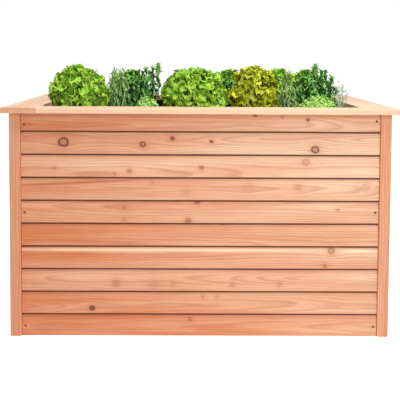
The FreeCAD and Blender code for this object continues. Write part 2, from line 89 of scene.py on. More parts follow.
def mathsIn(tree):
    def maths(operation, a, b=0.0, c=0.0, clamp=False):
        inputs = {0: a, 1: b, 2: c}
        return addNode(tree, "ShaderNodeMath", inputs, operation=operation, use_clamp=clamp).outputs[0]
    return maths


def mixed(tree, factor, a, b):
    # inputs 6 and 7 and output 2 are the ones for colours
    return addNode(tree, "ShaderNodeMix", {"Factor": factor, 6: a, 7: b}, data_type="RGBA").outputs[2]


def ownPlace(tree):
    return addNode(tree, "ShaderNodeTexCoord").outputs["Object"]


def addBump(tree, shader, height, strength, distance):
    bump = addNode(tree, "ShaderNodeBump", {"Height": height, "Strength": strength, "Distance": distance})
    tree.links.new(bump.outputs[0], shader.inputs["Normal"])


def newGroup(name, inputs, outputs):
    group = bpy.data.node_groups.new(name, "ShaderNodeTree")
    for way, sockets in (("INPUT", inputs), ("OUTPUT", outputs)):
        for socket, kind in sockets.items():
            group.interface.new_socket(socket, in_out=way, socket_type=f"NodeSocket{kind}")
    return group, group.nodes.new("NodeGroupInput"), group.nodes.new("NodeGroupOutput")


def newMaterial(name, **sockets):
    material = bpy.data.materials.new(name)
    material.use_nodes = True
    tree = material.node_tree
    shader = tree.nodes["Principled BSDF"]
    for socket, value in sockets.items():
        shader.inputs[socket.replace("_", " ")].default_value = value
    return material, tree, shader


def setMaterial(obj, material):
    obj.data.materials.clear()
    obj.data.materials.append(material)


# ---- Douglas fir, planed and oiled ----

fir = dict(
    pale="#EFC7A3",          # earlywood near the bark
    heart="#D0794A",         # orange-brown heartwood
    late="#AE5D38",          # the dense end of each year's ring
    knot="#5E1E0A",          # branch wood, soaked with resin
    halo="#C4704C",          # stained wood round a knot
    sapwood="#FFE2BC",       # the pale wood under the bark
    joint="#5E2408",         # painted shade deep in the joints, with some dust
    ringMm=6.5,              # one year's growth, drawn about twice as coarse to show
    fibreMm=1.6,             # fine streaks along the grain
    roughness=0.52,          # oil leaves a low sheen
    lateSheen=0.10,          # and more of it on the dense wood
    stained=0.55, knotted=0.95, fibreShade=0.5, endGrain=0.45, inJointShade=0.85,    # strength of each tint, and of the painted shade in the joints
    jointEdge=0.0012,        # depth over which the painted shade in a joint fades in
    bump=0.22, bumpDepth=0.0006,
)

# lengths along the grain and up the face are in radii of the knot
branch = dict(
    oval=1.15,               # longer along the grain than up the face
    ragged=0.5,              # how uneven its edge is
    edge=(1.15, 0.75),       # where clear wood ends and solid knot begins
    rim=(0.95, 0.30),        # place and width of the dark ring
    paleMiddle=0.72,
    stainReach=2.3,
    flame=(5.5, 0.6, 0.35),  # stain drawn out along the grain: length, height, strength
    bend=(4.0, 2.6, 0.75),   # grain pushed aside: length, height, strength
)


def knotGroup():
    # one branch end: bends the grain round itself and darkens
    group, start, end = newGroup(
        "branchEnd",
        dict(Warped="Vector", Across="Vector", Size="Float", Hollow="Float", Strength="Float",
             Dark="Float", Halo="Float"),
        dict(Warped="Vector", Dark="Float", Halo="Float"),
    )
    given, maths = start.outputs, mathsIn(group)
    away = addNode(group, "ShaderNodeSeparateXYZ", {0: given["Across"]})
    dx, dz = away.outputs["X"], away.outputs["Z"]
    size = maths("MAXIMUM", given["Size"], 0.0002)
    jitter = addNode(group, "ShaderNodeTexNoise", {"Vector": given["Across"], "Scale": 90.0, "Detail": 2.0})
    u = maths("DIVIDE", dx, maths("MULTIPLY", size, branch["oval"]))
    v = maths("DIVIDE", dz, size)
    distance = maths("SQRT", maths("ADD", maths("MULTIPLY", u, u), maths("MULTIPLY", v, v)))
    uneven = maths("MULTIPLY", maths("SUBTRACT", jitter.outputs["Fac"], 0.5), branch["ragged"])
    distance = maths("ADD", distance, uneven)

    def bell(value, centre, width):
        offset = maths("DIVIDE", maths("SUBTRACT", value, centre), width)
        return maths("EXPONENT", maths("MULTIPLY", maths("MULTIPLY", offset, offset), -1.0))

    outer, inner = branch["edge"]
    core = addNode(group, "ShaderNodeMapRange",
                   {"Value": distance, "From Min": outer, "From Max": inner, "To Min": 0.0, "To Max": 1.0},
                   interpolation_type="SMOOTHSTEP").outputs["Result"]
    kept = maths("SUBTRACT", 1.0, maths("MULTIPLY", given["Hollow"], branch["paleMiddle"]))
    mark = maths("MAXIMUM", maths("MULTIPLY", core, kept), bell(distance, *branch["rim"]))
    length, height, strength = branch["flame"]
    flame = maths("MULTIPLY", bell(u, 0.0, length), maths("MULTIPLY", bell(v, 0.0, height), strength))
    stain = maths("MAXIMUM", bell(distance, 0.0, branch["stainReach"]), flame)
    present = maths("MULTIPLY", maths("GREATER_THAN", given["Size"], 0.0003), given["Strength"])
    length, height, strength = branch["bend"]
    reach = maths("MULTIPLY", bell(u, 0.0, length), bell(v, 0.0, height))
    push = maths("MULTIPLY", maths("MULTIPLY", dz, reach), maths("MULTIPLY", present, -strength))
    shift = addNode(group, "ShaderNodeCombineXYZ", {"Z": push}).outputs[0]
    warped = addNode(group, "ShaderNodeVectorMath", {0: given["Warped"], 1: shift}, operation="ADD")
    group.links.new(warped.outputs[0], end.inputs["Warped"])
    # a faint knot is more stain than core
    cored = maths("MULTIPLY", mark, maths("MULTIPLY", present, present))
    stained = maths("MULTIPLY", stain, maths("SQRT", present))
    group.links.new(maths("MAXIMUM", given["Dark"], cored), end.inputs["Dark"])
    group.links.new(maths("MAXIMUM", given["Halo"], stained), end.inputs["Halo"])
    return group


def figureGroup():
    # year rings round a pith that runs nearly along X, cut by the board wherever it lies
    numbers = ("Seed", "Pith Depth", "Pith Height", "Lean", "Wave")
    group, start, end = newGroup(
        "yearRings",
        {"Vector": "Vector", **{name: "Float" for name in numbers}},
        dict(Late="Float", Fibre="Float", Drift="Float"),
    )
    given, maths = start.outputs, mathsIn(group)

    def stretched(scale, detail, shift):
        # noise drawn out along the grain, moved to its own place by the board's seed
        scaled = addNode(group, "ShaderNodeVectorMath", {0: given["Vector"], 1: scale}, operation="MULTIPLY")
        seed = maths("MULTIPLY_ADD", given["Seed"], 7.31, shift)
        inputs = {"Vector": scaled.outputs[0], "W": seed, "Scale": 1.0, "Detail": detail}
        noise = addNode(group, "ShaderNodeTexNoise", inputs, noise_dimensions="4D")
        return maths("SUBTRACT", noise.outputs["Fac"], 0.5)

    x, y, z = addNode(group, "ShaderNodeSeparateXYZ", {0: given["Vector"]}).outputs
    wobble = maths("MULTIPLY", stretched((1.7, 5.0, 7.0), 1.5, 0.0), given["Wave"])
    depth = maths("ADD", maths("ADD", y, given["Pith Depth"]), maths("MULTIPLY", x, given["Lean"]))
    depth = maths("ADD", depth, wobble)
    height = maths("SUBTRACT", z, given["Pith Height"])
    radius = maths("SQRT", maths("ADD", maths("MULTIPLY", depth, depth), maths("MULTIPLY", height, height)))
    ripple = maths("MULTIPLY", stretched((9.0, 60.0, 60.0), 2.0, 3.0), 0.004)
    ring = maths("FRACT", maths("DIVIDE", maths("ADD", radius, ripple), fir["ringMm"] * mm))
    # slow rise through the summer and a sharp stop in autumn
    late = addNode(group, "ShaderNodeValToRGB", {"Fac": ring})
    ramp = late.color_ramp
    ramp.elements[0].position, ramp.elements[0].color = 0.0, (0.12, 0.12, 0.12, 1)
    ramp.elements[1].position, ramp.elements[1].color = 1.0, (0.25, 0.25, 0.25, 1)
    for position, level in ((0.12, 0.0), (0.55, 0.25), (0.86, 1.0), (0.95, 0.8)):
        ramp.elements.new(position).color = (level, level, level, 1)
    group.links.new(late.outputs["Color"], end.inputs["Late"])
    fibres = 1 / (fir["fibreMm"] * mm)
    group.links.new(stretched((fibres / 45, fibres, fibres), 3.0, 5.0), end.inputs["Fibre"])
    group.links.new(stretched((1.6, 14.0, 26.0), 2.0, 9.0), end.inputs["Drift"])
    return group


groups = dict(knot=knotGroup(), figure=figureGroup())
scatter = dict(cell=0.30, threshold=0.45, size=0.016, strength=0.75)    # one possible knot to a cell


def firMaterial(name, turn=(0, 0, 0), shift=(0, 0, 0), pitch=0.0, seed=0.0, heart=(0.35, 0.35),
                pith=(0.045, 0.04), lean=0.02, wave=0.03, contrast=0.75, knots=(), streaks=(),
                scattered=False, length=1.3, jointDepth=None):
    # turn and shift bring the object's own coordinates to the board: X along the
    # grain, Y into the wood and Z up the face; a pitch divides a wall into boards
    material, tree, shader = newMaterial(name, Roughness=fir["roughness"])
    maths = mathsIn(tree)
    place = addNode(tree, "ShaderNodeTexCoord")
    turned = [math.radians(angle) for angle in turn]
    local = addNode(tree, "ShaderNodeMapping",
                    {"Vector": place.outputs["Object"], "Rotation": turned, "Location": shift})
    vector = local.outputs[0]
    parts = addNode(tree, "ShaderNodeSeparateXYZ", {0: vector}).outputs
    boardSeed, (pithDepth, pithHeight), boardLean = seed, pith, lean
    if pitch:
        index = maths("FLOOR", maths("DIVIDE", parts["Z"], pitch))
        number = maths("ADD", index, seed)
        own = addNode(tree, "ShaderNodeTexWhiteNoise", {"W": number}, noise_dimensions="1D")
        luck = addNode(tree, "ShaderNodeSeparateColor", {"Color": own.outputs["Color"]}).outputs
        boardSeed = maths("MULTIPLY", own.outputs["Value"], 40.0)
        pithDepth = maths("MULTIPLY_ADD", luck["Red"], 0.07, 0.012)
        pithHeight = maths("MULTIPLY_ADD", luck["Green"], 0.09, -0.005)
        boardLean = maths("MULTIPLY_ADD", luck["Blue"], 0.05, -0.025)
        inBoard = maths("SUBTRACT", parts["Z"], maths("MULTIPLY", index, pitch))
        vector = addNode(tree, "ShaderNodeCombineXYZ",
                         {"X": parts["X"], "Y": parts["Y"], "Z": inBoard}).outputs[0]
    warped, dark, halo = vector, 0.0, 0.0

    def addKnot(across, size, hollow, strength):
        nonlocal warped, dark, halo
        inputs = dict(Warped=warped, Across=across, Size=size, Hollow=hollow, Strength=strength, Dark=dark,
                      Halo=halo)
        warped, dark, halo = addNode(tree, "ShaderNodeGroup", inputs, node_tree=groups["knot"]).outputs

    for x, z, sizeMm, hollow, strength in knots:
        across = addNode(tree, "ShaderNodeVectorMath", {0: vector, 1: (x, 0, z)}, operation="SUBTRACT")
        addKnot(across.outputs[0], sizeMm * mm / 2, hollow, strength)
    if scattered:
        # one possible branch end in every cell of a board's height by the cell's length
        columns, rows = maths("DIVIDE", parts["X"], scatter["cell"]), maths("DIVIDE", parts["Z"], pitch)
        grid = addNode(tree, "ShaderNodeCombineXYZ", {"X": columns, "Y": rows}).outputs[0]
        spots = addNode(tree, "ShaderNodeTexVoronoi", {"Vector": grid, "Scale": 1.0, "Randomness": 0.9},
                        voronoi_dimensions="2D")
        off = addNode(tree, "ShaderNodeVectorMath", {0: grid, 1: spots.outputs["Position"]},
                      operation="SUBTRACT")
        off = addNode(tree, "ShaderNodeSeparateXYZ", {0: off.outputs[0]}).outputs
        across = addNode(tree, "ShaderNodeCombineXYZ", {"X": maths("MULTIPLY", off["X"], scatter["cell"]),
                                                        "Z": maths("MULTIPLY", off["Y"], pitch)})
        chance = addNode(tree, "ShaderNodeSeparateColor", {"Color": spots.outputs["Color"]}).outputs
        size = maths("MULTIPLY", maths("SUBTRACT", chance["Red"], scatter["threshold"]), scatter["size"])
        addKnot(across.outputs[0], size, chance["Green"], scatter["strength"])

    figure = addNode(tree, "ShaderNodeGroup",
                     {"Vector": warped, "Seed": boardSeed, "Pith Depth": pithDepth, "Pith Height": pithHeight,
                      "Lean": boardLean, "Wave": wave}, node_tree=groups["figure"])
    late, fibre, drift = figure.outputs
    # how much of the face is heartwood, from one end of the board to the other; the darker left ends of the
    # front boards are partly the wood's own tone and partly painted shade where the light falls off to the
    # left
    along = maths("ADD", maths("DIVIDE", parts["X"], length), 0.5, clamp=True)
    share = maths("MULTIPLY_ADD", along, heart[1] - heart[0], heart[0])
    if pitch:
        share = maths("MULTIPLY_ADD", maths("SUBTRACT", luck["Blue"], 0.5), 0.55, share)
    share = maths("MULTIPLY_ADD", drift, 1.3, share, clamp=True)
    colour = mixed(tree, share, hexColour(fir["pale"]), hexColour(fir["heart"]))
    dense = mixed(tree, 0.5, colour, hexColour(fir["late"]))
    colour = mixed(tree, maths("MULTIPLY", late, contrast), colour, dense)
    for x, z, slope, halfLength, widthMm, strength, tone in streaks:
        off = maths("SUBTRACT", parts["X"], x)
        rise = maths("MULTIPLY_ADD", off, -slope, maths("SUBTRACT", parts["Z"], z))
        lengthways = maths("POWER", maths("ABSOLUTE", maths("DIVIDE", off, halfLength)), 4.0)
        upwards = maths("POWER", maths("ABSOLUTE", maths("DIVIDE", rise, widthMm * mm)), 2.0)
        inside = maths("EXPONENT", maths("MULTIPLY", maths("ADD", lengthways, upwards), -1.0))
        colour = mixed(tree, maths("MULTIPLY", inside, strength), colour, hexColour(fir[tone]))
    colour = mixed(tree, maths("MULTIPLY", halo, fir["stained"]), colour, hexColour(fir["halo"]))
    colour = mixed(tree, maths("MULTIPLY", dark, fir["knotted"]), colour, hexColour(fir["knot"]))
    grain = maths("MULTIPLY_ADD", fibre, fir["fibreShade"], 1.0)
    shaded = addNode(tree, "ShaderNodeVectorMath", {0: colour, "Scale": grain}, operation="SCALE")
    colour = shaded.outputs[0]
    # painted shade: behind jointDepth the wood turns dark, for the shade deep in the joints and some dust
    if jointDepth:
        deep = addNode(tree, "ShaderNodeMapRange",
                       {"Value": parts["Y"], "From Min": jointDepth - fir["jointEdge"],
                        "From Max": jointDepth, "To Min": 0.0, "To Max": fir["inJointShade"]})
        colour = mixed(tree, deep.outputs["Result"], colour, hexColour(fir["joint"]))
    # end grain drinks more oil and turns darker
    facing = addNode(tree, "ShaderNodeVectorRotate",
                     {"Vector": place.outputs["Normal"], "Rotation": turned}, rotation_type="EULER_XYZ")
    endways = addNode(tree, "ShaderNodeSeparateXYZ", {0: facing.outputs[0]})
    endGrain = maths("GREATER_THAN", maths("ABSOLUTE", endways.outputs["X"]), 0.8)
    colour = mixed(tree, maths("MULTIPLY", endGrain, fir["endGrain"]), colour, hexColour(fir["halo"]))
    tree.links.new(colour, shader.inputs["Base Color"])
    relief = maths("MULTIPLY_ADD", late, 0.5, maths("MULTIPLY", fibre, 0.9))
    addBump(tree, shader, maths("MULTIPLY_ADD", dark, -0.6, relief), fir["bump"], fir["bumpDepth"])
    gloss = maths("MULTIPLY_ADD", late, -fir["lateSheen"], fir["roughness"] + 0.05)
    tree.links.new(gloss, shader.inputs["Roughness"])
    return material


# ---- the four walls ----

bed = dict(
    courses=10,
    pitch=0.08,
    jointDepth=0.0082,       # where the painted shade of the joints starts, behind the board's face, deeper than the bevel reaches
)

# Front boards from the top: heartwood share at the left and the right end, higher at the left on every board,
# partly the wood's own tone and partly painted shade where the light falls off to the left; pith (depth,
# height), lean of the pith, wave of the grain, and the branch ends as (along, up the board, diameter in mm, 1
# for a ring with a pale middle, strength).
# A streak is (along, up, slope, half length, half width in mm, strength, tone).
frontBoards = (
    dict(heart=(0.80, 0.28), pith=(0.030, 0.020), lean=0.016, wave=0.045,
         knots=((0.188, 0.056, 9, 0, 0.9), (0.281, 0.050, 6, 0, 0.6), (0.370, 0.040, 9, 0, 0.9))),
    dict(heart=(0.62, 0.05), pith=(0.025, 0.055), lean=-0.022, wave=0.040,
         knots=((-0.474, 0.040, 28, 1, 1.0), (-0.200, 0.033, 16, 1, 1.0), (-0.098, 0.054, 13, 0, 0.9),
                (0.037, 0.044, 10, 0, 0.9), (0.397, 0.017, 21, 1, 1.0))),
    dict(heart=(0.50, 0.14), pith=(0.060, 0.010), lean=0.010, wave=0.025,
         knots=((-0.506, 0.029, 8, 0, 0.5), (-0.297, 0.009, 7, 0, 0.5), (-0.247, 0.020, 12, 0, 0.6),
                (0.003, 0.033, 12, 0, 0.7), (0.365, 0.053, 18, 1, 0.6))),
    dict(heart=(0.80, 0.06), pith=(0.018, 0.040), lean=0.030, wave=0.060,
         streaks=((-0.44, 0.058, 0.045, 0.20, 4.5, 0.95, "late"),),
         knots=((-0.166, 0.059, 8, 0, 0.3), (-0.047, 0.029, 16, 0, 0.2), (0.166, 0.046, 26, 1, 0.25),
                (0.340, 0.046, 18, 0, 0.35), (0.575, 0.046, 24, 0, 0.4))),
    dict(heart=(0.62, 0.38), pith=(0.055, 0.070), lean=-0.012, wave=0.025,
         knots=((-0.265, 0.051, 13, 0, 0.45), (-0.265, 0.011, 11, 0, 0.45), (-0.010, 0.074, 16, 0, 0.8),
                (-0.042, 0.008, 16, 0, 0.7), (0.478, 0.048, 9, 0, 0.5))),
    dict(heart=(0.98, 0.40), pith=(0.040, 0.000), lean=0.008, wave=0.020, knots=()),
    dict(heart=(0.82, 0.48), pith=(0.065, 0.085), lean=0.014, wave=0.022,
         streaks=((-0.16, 0.064, 0.0, 0.57, 5.5, 0.8, "sapwood"),
                  (0.56, 0.062, 0.0, 0.07, 6.0, 0.8, "sapwood")),
         knots=((0.458, 0.062, 17, 1, 0.8), (0.436, 0.009, 12, 0, 0.6))),
    dict(heart=(0.68, 0.32), pith=(0.022, 0.045), lean=-0.028, wave=0.060,
         knots=((-0.293, 0.026, 20, 0, 0.5), (-0.160, 0.020, 26, 1, 0.3), (-0.094, 0.024, 14, 0, 0.3),
                (0.113, 0.022, 12, 0, 0.4), (0.277, 0.024, 12, 0, 0.4))),
    dict(heart=(0.98, 0.38), pith=(0.030, 0.025), lean=0.020, wave=0.045,
         knots=((-0.376, 0.018, 16, 0, 0.95), (0.010, 0.058, 9, 0, 0.4), (0.060, 0.058, 9, 0, 0.4))),
    dict(heart=(0.85, 0.66), pith=(0.050, 0.030), lean=-0.015, wave=0.030,
         knots=((-0.034, 0.058, 12, 0, 0.6),)),
)


def makeWalls():
    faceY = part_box("front_board_05")[0].y
    for number, board in enumerate(frontBoards, start=1):
        bottom = bed["pitch"] * (bed["courses"] - number)
        material = firMaterial(f"firFront{number:02d}", shift=(0, -faceY, -bottom), seed=number * 3.7,
                               jointDepth=bed["jointDepth"], **board)
        setMaterial(nodes[f"front_board_{number:02d}"], material)
    # the other walls are one stack each, every board with luck of its own
    stacks = (
        ("firBack", 180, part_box("back_board_05")[1].y, 31.0, (0.45, 0.45),
         [f"back_board_{number:02d}" for number in range(1, bed["courses"] + 1)]),
        ("firLeft", 90, -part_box("left_wall_boards")[0].x, 57.0, (0.40, 0.50), ["left_wall_boards"]),
        ("firRight", -90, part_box("right_wall_boards")[1].x, 83.0, (0.50, 0.40), ["right_wall_boards"]),
    )
    for name, turn, face, seed, heart, boards in stacks:
        stack = firMaterial(name, turn=(0, 0, turn), shift=(0, face, 0), pitch=bed["pitch"], seed=seed,
                            heart=heart, scattered=True, jointDepth=bed["jointDepth"])
        for board in boards:
            setMaterial(nodes[board], stack)
    print("walls done")


# ---- posts, cap and battens ----

# heartwood share at the foot and the head; the front left post takes more than the front right one, partly
# its own tone and partly painted shade where the light falls off to the left
postHeartAndShade = dict(front_left=(0.80, 0.72), front_right=(0.62, 0.50), back_right=(0.60, 0.60),
                 back_left=(0.70, 0.60))

capKnots = dict(
    front=(),
    back=((0.11, 0.0, 12, 0, 0.7),),
    left=((-0.20, 0.0, 14, 0, 0.6),),
    right=((0.34, 0.0, 10, 0, 0.6),),
)


def standing(name, node, **wood):
    # grain upright: the piece's height becomes X, its heart lies off to one side
    low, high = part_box(node)
    middle = (low + high) / 2
    upright = firMaterial(name, turn=(0, 90, 0), shift=(-middle.z, -middle.y, middle.x), contrast=0.8, **wood)
    setMaterial(nodes[node], upright)


def makeFraming():
    sawn = dict(heart=(0.6, 0.5), pith=(0.03, 0.02), lean=0.006)
    for number, (corner, heart) in enumerate(postHeartAndShade.items()):
        standing(f"firPost{number}", f"{corner}_post", seed=11.0 + number, heart=heart,
                 pith=(0.05 + 0.01 * number, -0.03), lean=0.004, wave=0.02)
        standing(f"firBatten{number}", f"{corner}_batten", seed=19.0 + number, **sawn)
    for number, wall in enumerate(("front", "back")):
        standing(f"firMiddleBatten{number}", f"{wall}_middle_batten", seed=27.0 + number, **sawn)
    tie = firMaterial("firTie", turn=(0, 0, 90), seed=35.0, heart=(0.6, 0.6), contrast=0.8)
    setMaterial(nodes["cross_tie"], tie)
    capTurns = dict(front=0, back=180, left=90, right=-90)
    for number, (wall, turn) in enumerate(capTurns.items()):
        low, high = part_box(f"{wall}_cap")
        middle = (low + high) / 2
        turned = Matrix.Rotation(math.radians(turn), 4, "Z") @ middle
        cap = firMaterial(f"firCap{number}", turn=(0, 0, turn), shift=(-turned.x, -turned.y, -middle.z),
                          seed=41.0 + number, heart=(0.06, 0.02), pith=(0.01, -0.06), lean=0.02, wave=0.05,
                          contrast=0.35, knots=capKnots[wall])
        setMaterial(nodes[f"{wall}_cap"], cap)
    print("framing done")


# ---- steel, liner and mesh ----

def mottled(name, dark, light, kind, output, inputs, **sockets):
    # a material that goes from one tone to the other as a pattern in its own space says
    material, tree, shader = newMaterial(name, **sockets)
    pattern = addNode(tree, kind, {"Vector": ownPlace(tree), **inputs}).outputs[output]
    tree.links.new(mixed(tree, pattern, hexColour(dark), hexColour(light)), shader.inputs["Base Color"])
    return material, tree, shader, pattern


def makeHardware():
    # steel wood screws coloured dark brown as painted shade in their countersunk heads, a little glossy
    screw = mottled("shadeDarkScrewSteel", "#4A3022", "#8C6A4E", "ShaderNodeTexNoise", "Fac",
                    dict(Scale=900.0, Detail=2.0), Metallic=0.85, Roughness=0.42)[0]
    for name in ("board_screws", "cap_screws", "batten_screws"):
        setMaterial(nodes[name], screw)
    # polyethylene sheet: black, waxy, with creases
    liner, tree, shader, crease = mottled("blackPolySheet", "#141414", "#262626", "ShaderNodeTexNoise", "Fac",
                                          dict(Scale=26.0, Detail=3.0), Roughness=0.38, IOR=1.5)
    addBump(tree, shader, crease, 0.5, 0.003)
    setMaterial(nodes["wall_liner"], liner)
    # hot-dip galvanised mesh: grey with a crystalline bloom
    zinc = mottled("galvanisedSteel", "#8E9294", "#B9BCBD", "ShaderNodeTexVoronoi", "Distance",
                   dict(Scale=240.0), Metallic=0.9, Roughness=0.5)[0]
    setMaterial(nodes["vole_mesh"], zinc)
    print("hardware done")


# ---- the filling ----

soil = dict(
    dark="#2A1C13",
    light="#5A4230",
    lumpMm=38.0,             # clods
    lumpHeightMm=8.0,
    crumbMm=7.0,             # crumbs between them
    crumbHeightMm=5.0,
    cell=0.008,              # spacing of the surface grid
    lining=0.0025,           # kept clear round the battens
)


def crumblyMaterial(name, dark, light, crumbMm):
    # loose organic earth: matt, dark, with pale bits of fibre
    crumbs = 1 / (crumbMm * mm)
    material, tree, shader, lumps = mottled(name, dark, light, "ShaderNodeTexNoise", "Fac",
                                            dict(Scale=crumbs, Detail=5.0, Roughness=0.65), Roughness=0.95)
    specks = addNode(tree, "ShaderNodeTexVoronoi", {"Vector": ownPlace(tree), "Scale": 0.6 / (crumbMm * mm)})
    addBump(tree, shader, mathsIn(tree)("ADD", lumps, specks.outputs["Distance"]), 0.8, 0.004)
    return material


def clearSelection():
    if bpy.context.mode != "OBJECT":
        bpy.ops.object.mode_set(mode="OBJECT")
    bpy.ops.object.select_all(action="DESELECT")


def applyModifiers(obj):
    bpy.context.view_layer.objects.active = obj
    for modifier in list(obj.modifiers):
        bpy.ops.object.modifier_apply(modifier=modifier.name)


def settle(obj):
    # leave the place in the mesh and the object at the origin
    obj.data.transform(obj.matrix_world)
    obj.matrix_world = Matrix.Identity(4)


def makeSoil():
    low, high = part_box("topsoil")
    clearSelection()
    size = high - low
    columns, rows = round(size.x / soil["cell"]), round(size.y / soil["cell"])
    bpy.ops.mesh.primitive_grid_add(x_subdivisions=columns, y_subdivisions=rows, size=1,
                                    location=((low.x + high.x) / 2, (low.y + high.y) / 2, high.z))
    ground = bpy.context.object
    ground.name = "raked_topsoil"
    ground.scale = (size.x, size.y, 1)
    bpy.ops.object.transform_apply(location=True, rotation=False, scale=True)
    for label, scaleMm, heightMm in (("lumps", soil["lumpMm"], soil["lumpHeightMm"]),
                                     ("crumbs", soil["crumbMm"], soil["crumbHeightMm"])):
        pattern = bpy.data.textures.new(label, "CLOUDS")
        pattern.noise_scale = scaleMm * mm
        pattern.noise_depth = 2
        uneven = ground.modifiers.new(label, "DISPLACE")
        uneven.texture = pattern
        uneven.direction = "Z"
        uneven.mid_level = 0.5
        uneven.strength = heightMm * mm
    applyModifiers(ground)
    # leave out the cells where the battens stand
    room = Vector((soil["lining"], soil["lining"], 0))
    battens = [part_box(name) for name in nodes if name.endswith("_batten")]
    battens = [(near - room, far + room) for near, far in battens]
    bpy.ops.object.mode_set(mode="EDIT")
    bpy.ops.mesh.select_mode(type="FACE")
    bpy.ops.mesh.select_all(action="DESELECT")
    bpy.ops.object.mode_set(mode="OBJECT")
    for face in ground.data.polygons:
        x, y = face.center.xy
        face.select = any(near.x < x < far.x and near.y < y < far.y for near, far in battens)
    bpy.ops.object.mode_set(mode="EDIT")
    bpy.ops.mesh.delete(type="FACE")
    # pull the surface down to a closed block as deep as the layer
    bpy.ops.mesh.select_all(action="SELECT")
    bpy.ops.mesh.extrude_region_move(TRANSFORM_OT_translate={"value": (0, 0, low.z - high.z)})
    bpy.ops.transform.resize(value=(1, 1, 0), center_override=(0, 0, low.z))
    bpy.ops.mesh.select_all(action="SELECT")
    bpy.ops.mesh.normals_make_consistent(inside=False)
    bpy.ops.object.mode_set(mode="OBJECT")
    settle(ground)
    setMaterial(ground, crumblyMaterial("dampTopsoil", soil["dark"], soil["light"], soil["crumbMm"]))
    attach(ground, "root")
    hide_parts("topsoil")
    setMaterial(nodes["compost_layer"], crumblyMaterial("coarseCompost", "#24180F", "#6B5138", 14.0))
    setMaterial(nodes["drainage_layer"], crumblyMaterial("layeredBranches", "#35251A", "#7A604A", 30.0))
    print("soil done", len(ground.data.polygons))


# ---- plants ----

def footOf(low, high):
    # the middle of a plant where it meets the soil
    return Vector(((low.x + high.x) / 2, (low.y + high.y) / 2, soilZ))


def pointing(angle, rise=0.0):
    return Vector((math.cos(angle) * math.cos(rise), math.sin(angle) * math.cos(rise), math.sin(rise)))


def leafMaterial(name, tip, middle, base, rib, roughness=0.58, spread=0.35):
    # leaf: matt cuticle over soft green, paler along the rib, each leaf its own tone; darker towards the foot
    # of each leaf as painted shade deep inside the plant, and pale at the tip as painted light on the outer
    # leaves
    material, tree, shader = newMaterial(name, Roughness=roughness, IOR=1.42)
    maths = mathsIn(tree)
    place = addNode(tree, "ShaderNodeTexCoord").outputs
    across = addNode(tree, "ShaderNodeSeparateXYZ", {0: place["UV"]}).outputs
    # painted shade and light: from a dark foot deep in the plant to a pale lit tip
    lengthways = addNode(tree, "ShaderNodeValToRGB", {"Fac": across["Y"]})
    ramp = lengthways.color_ramp
    ramp.elements[0].color = hexColour(base)
    ramp.elements[1].color = hexColour(tip)
    ramp.elements.new(0.55).color = hexColour(middle)
    fromRib = maths("ABSOLUTE", maths("SUBTRACT", across["X"], 0.5))
    ribbed = addNode(tree, "ShaderNodeMapRange", {"Value": fromRib, "From Min": 0.0, "From Max": 0.06,
                                                  "To Min": 0.6, "To Max": 0.0})
    colour = mixed(tree, ribbed.outputs["Result"], lengthways.outputs["Color"], hexColour(rib))
    own = addNode(tree, "ShaderNodeNewGeometry").outputs["Random Per Island"]
    mottle = addNode(tree, "ShaderNodeTexNoise", {"Vector": place["Object"], "Scale": 120.0, "Detail": 3.0})
    level = maths("MULTIPLY_ADD", own, spread, 1.0 - spread * 0.55)
    level = maths("SUBTRACT", maths("MULTIPLY_ADD", mottle.outputs["Fac"], 0.4, level), 0.2)
    shaded = addNode(tree, "ShaderNodeVectorMath", {0: colour, "Scale": level}, operation="SCALE")
    tree.links.new(shaded.outputs[0], shader.inputs["Base Color"])
    addBump(tree, shader, mottle.outputs["Fac"], 0.4, 0.002)
    return material


def shapedLeaf(name, columns, rows, profile, cup, seed, ruffle=0.0, ruffleMm=20.0, curl=0.0, thickMm=0.8):
    # a flat grid one unit long, drawn to a leaf's outline, cupped, ruffled and curled
    clearSelection()
    bpy.ops.mesh.primitive_grid_add(x_subdivisions=columns, y_subdivisions=rows, size=1)
    leaf = bpy.context.object
    leaf.name = name
    margin = leaf.vertex_groups.new(name="margin")
    for vertex in leaf.data.vertices:
        side, run = vertex.co.x * 2, vertex.co.y + 0.5
        width = profile(run)
        vertex.co = (side * width, run, cup * (side * width) ** 2 / max(width, 0.05))
        edge = max(abs(side) ** 1.5, max(0.0, run - 0.6) / 0.4)
        margin.add([vertex.index], min(1.0, edge * min(1.0, run * 2.2)), "REPLACE")
    if ruffle:
        for axis, share in (("Z", 1.0), ("X", 0.5), ("Y", 0.5)):
            pattern = bpy.data.textures.new(f"{name}{axis}", "CLOUDS")
            pattern.noise_scale = ruffleMm * mm * 10
            pattern.noise_depth = 1
            wave = leaf.modifiers.new(f"ruffle{axis}", "DISPLACE")
            wave.texture = pattern
            wave.direction = axis
            wave.vertex_group = "margin"
            wave.strength = ruffle * share
            wave.texture_coords = "OBJECT"
            anchor = bpy.data.objects.new("anchor", None)
            bpy.context.collection.objects.link(anchor)
            anchor.location = (seed * 1.7 + ord(axis), seed * 0.9, seed * 2.3)
            wave.texture_coords_object = anchor
        bpy.context.view_layer.update()
    applyModifiers(leaf)
    for helper in [o for o in bpy.data.objects if o.type == "EMPTY" and o.name.startswith("anchor")]:
        bpy.data.objects.remove(helper)
    if curl:
        for vertex in leaf.data.vertices:
            angle = curl * max(0.0, vertex.co.y) ** 2
            along = Vector((0, math.cos(angle), -math.sin(angle)))
            upward = Vector((0, math.sin(angle), math.cos(angle)))
            vertex.co = Vector((vertex.co.x, 0, 0)) + along * vertex.co.y + upward * vertex.co.z
    if thickMm:
        skin = leaf.modifiers.new("thickness", "SOLIDIFY")
        skin.thickness = thickMm * mm * 10
        skin.offset = 0
        applyModifiers(leaf)
    bpy.ops.object.select_all(action="DESELECT")
    leaf.select_set(True)
    bpy.ops.object.shade_smooth()
    leaf.vertex_groups.clear()
    return leaf


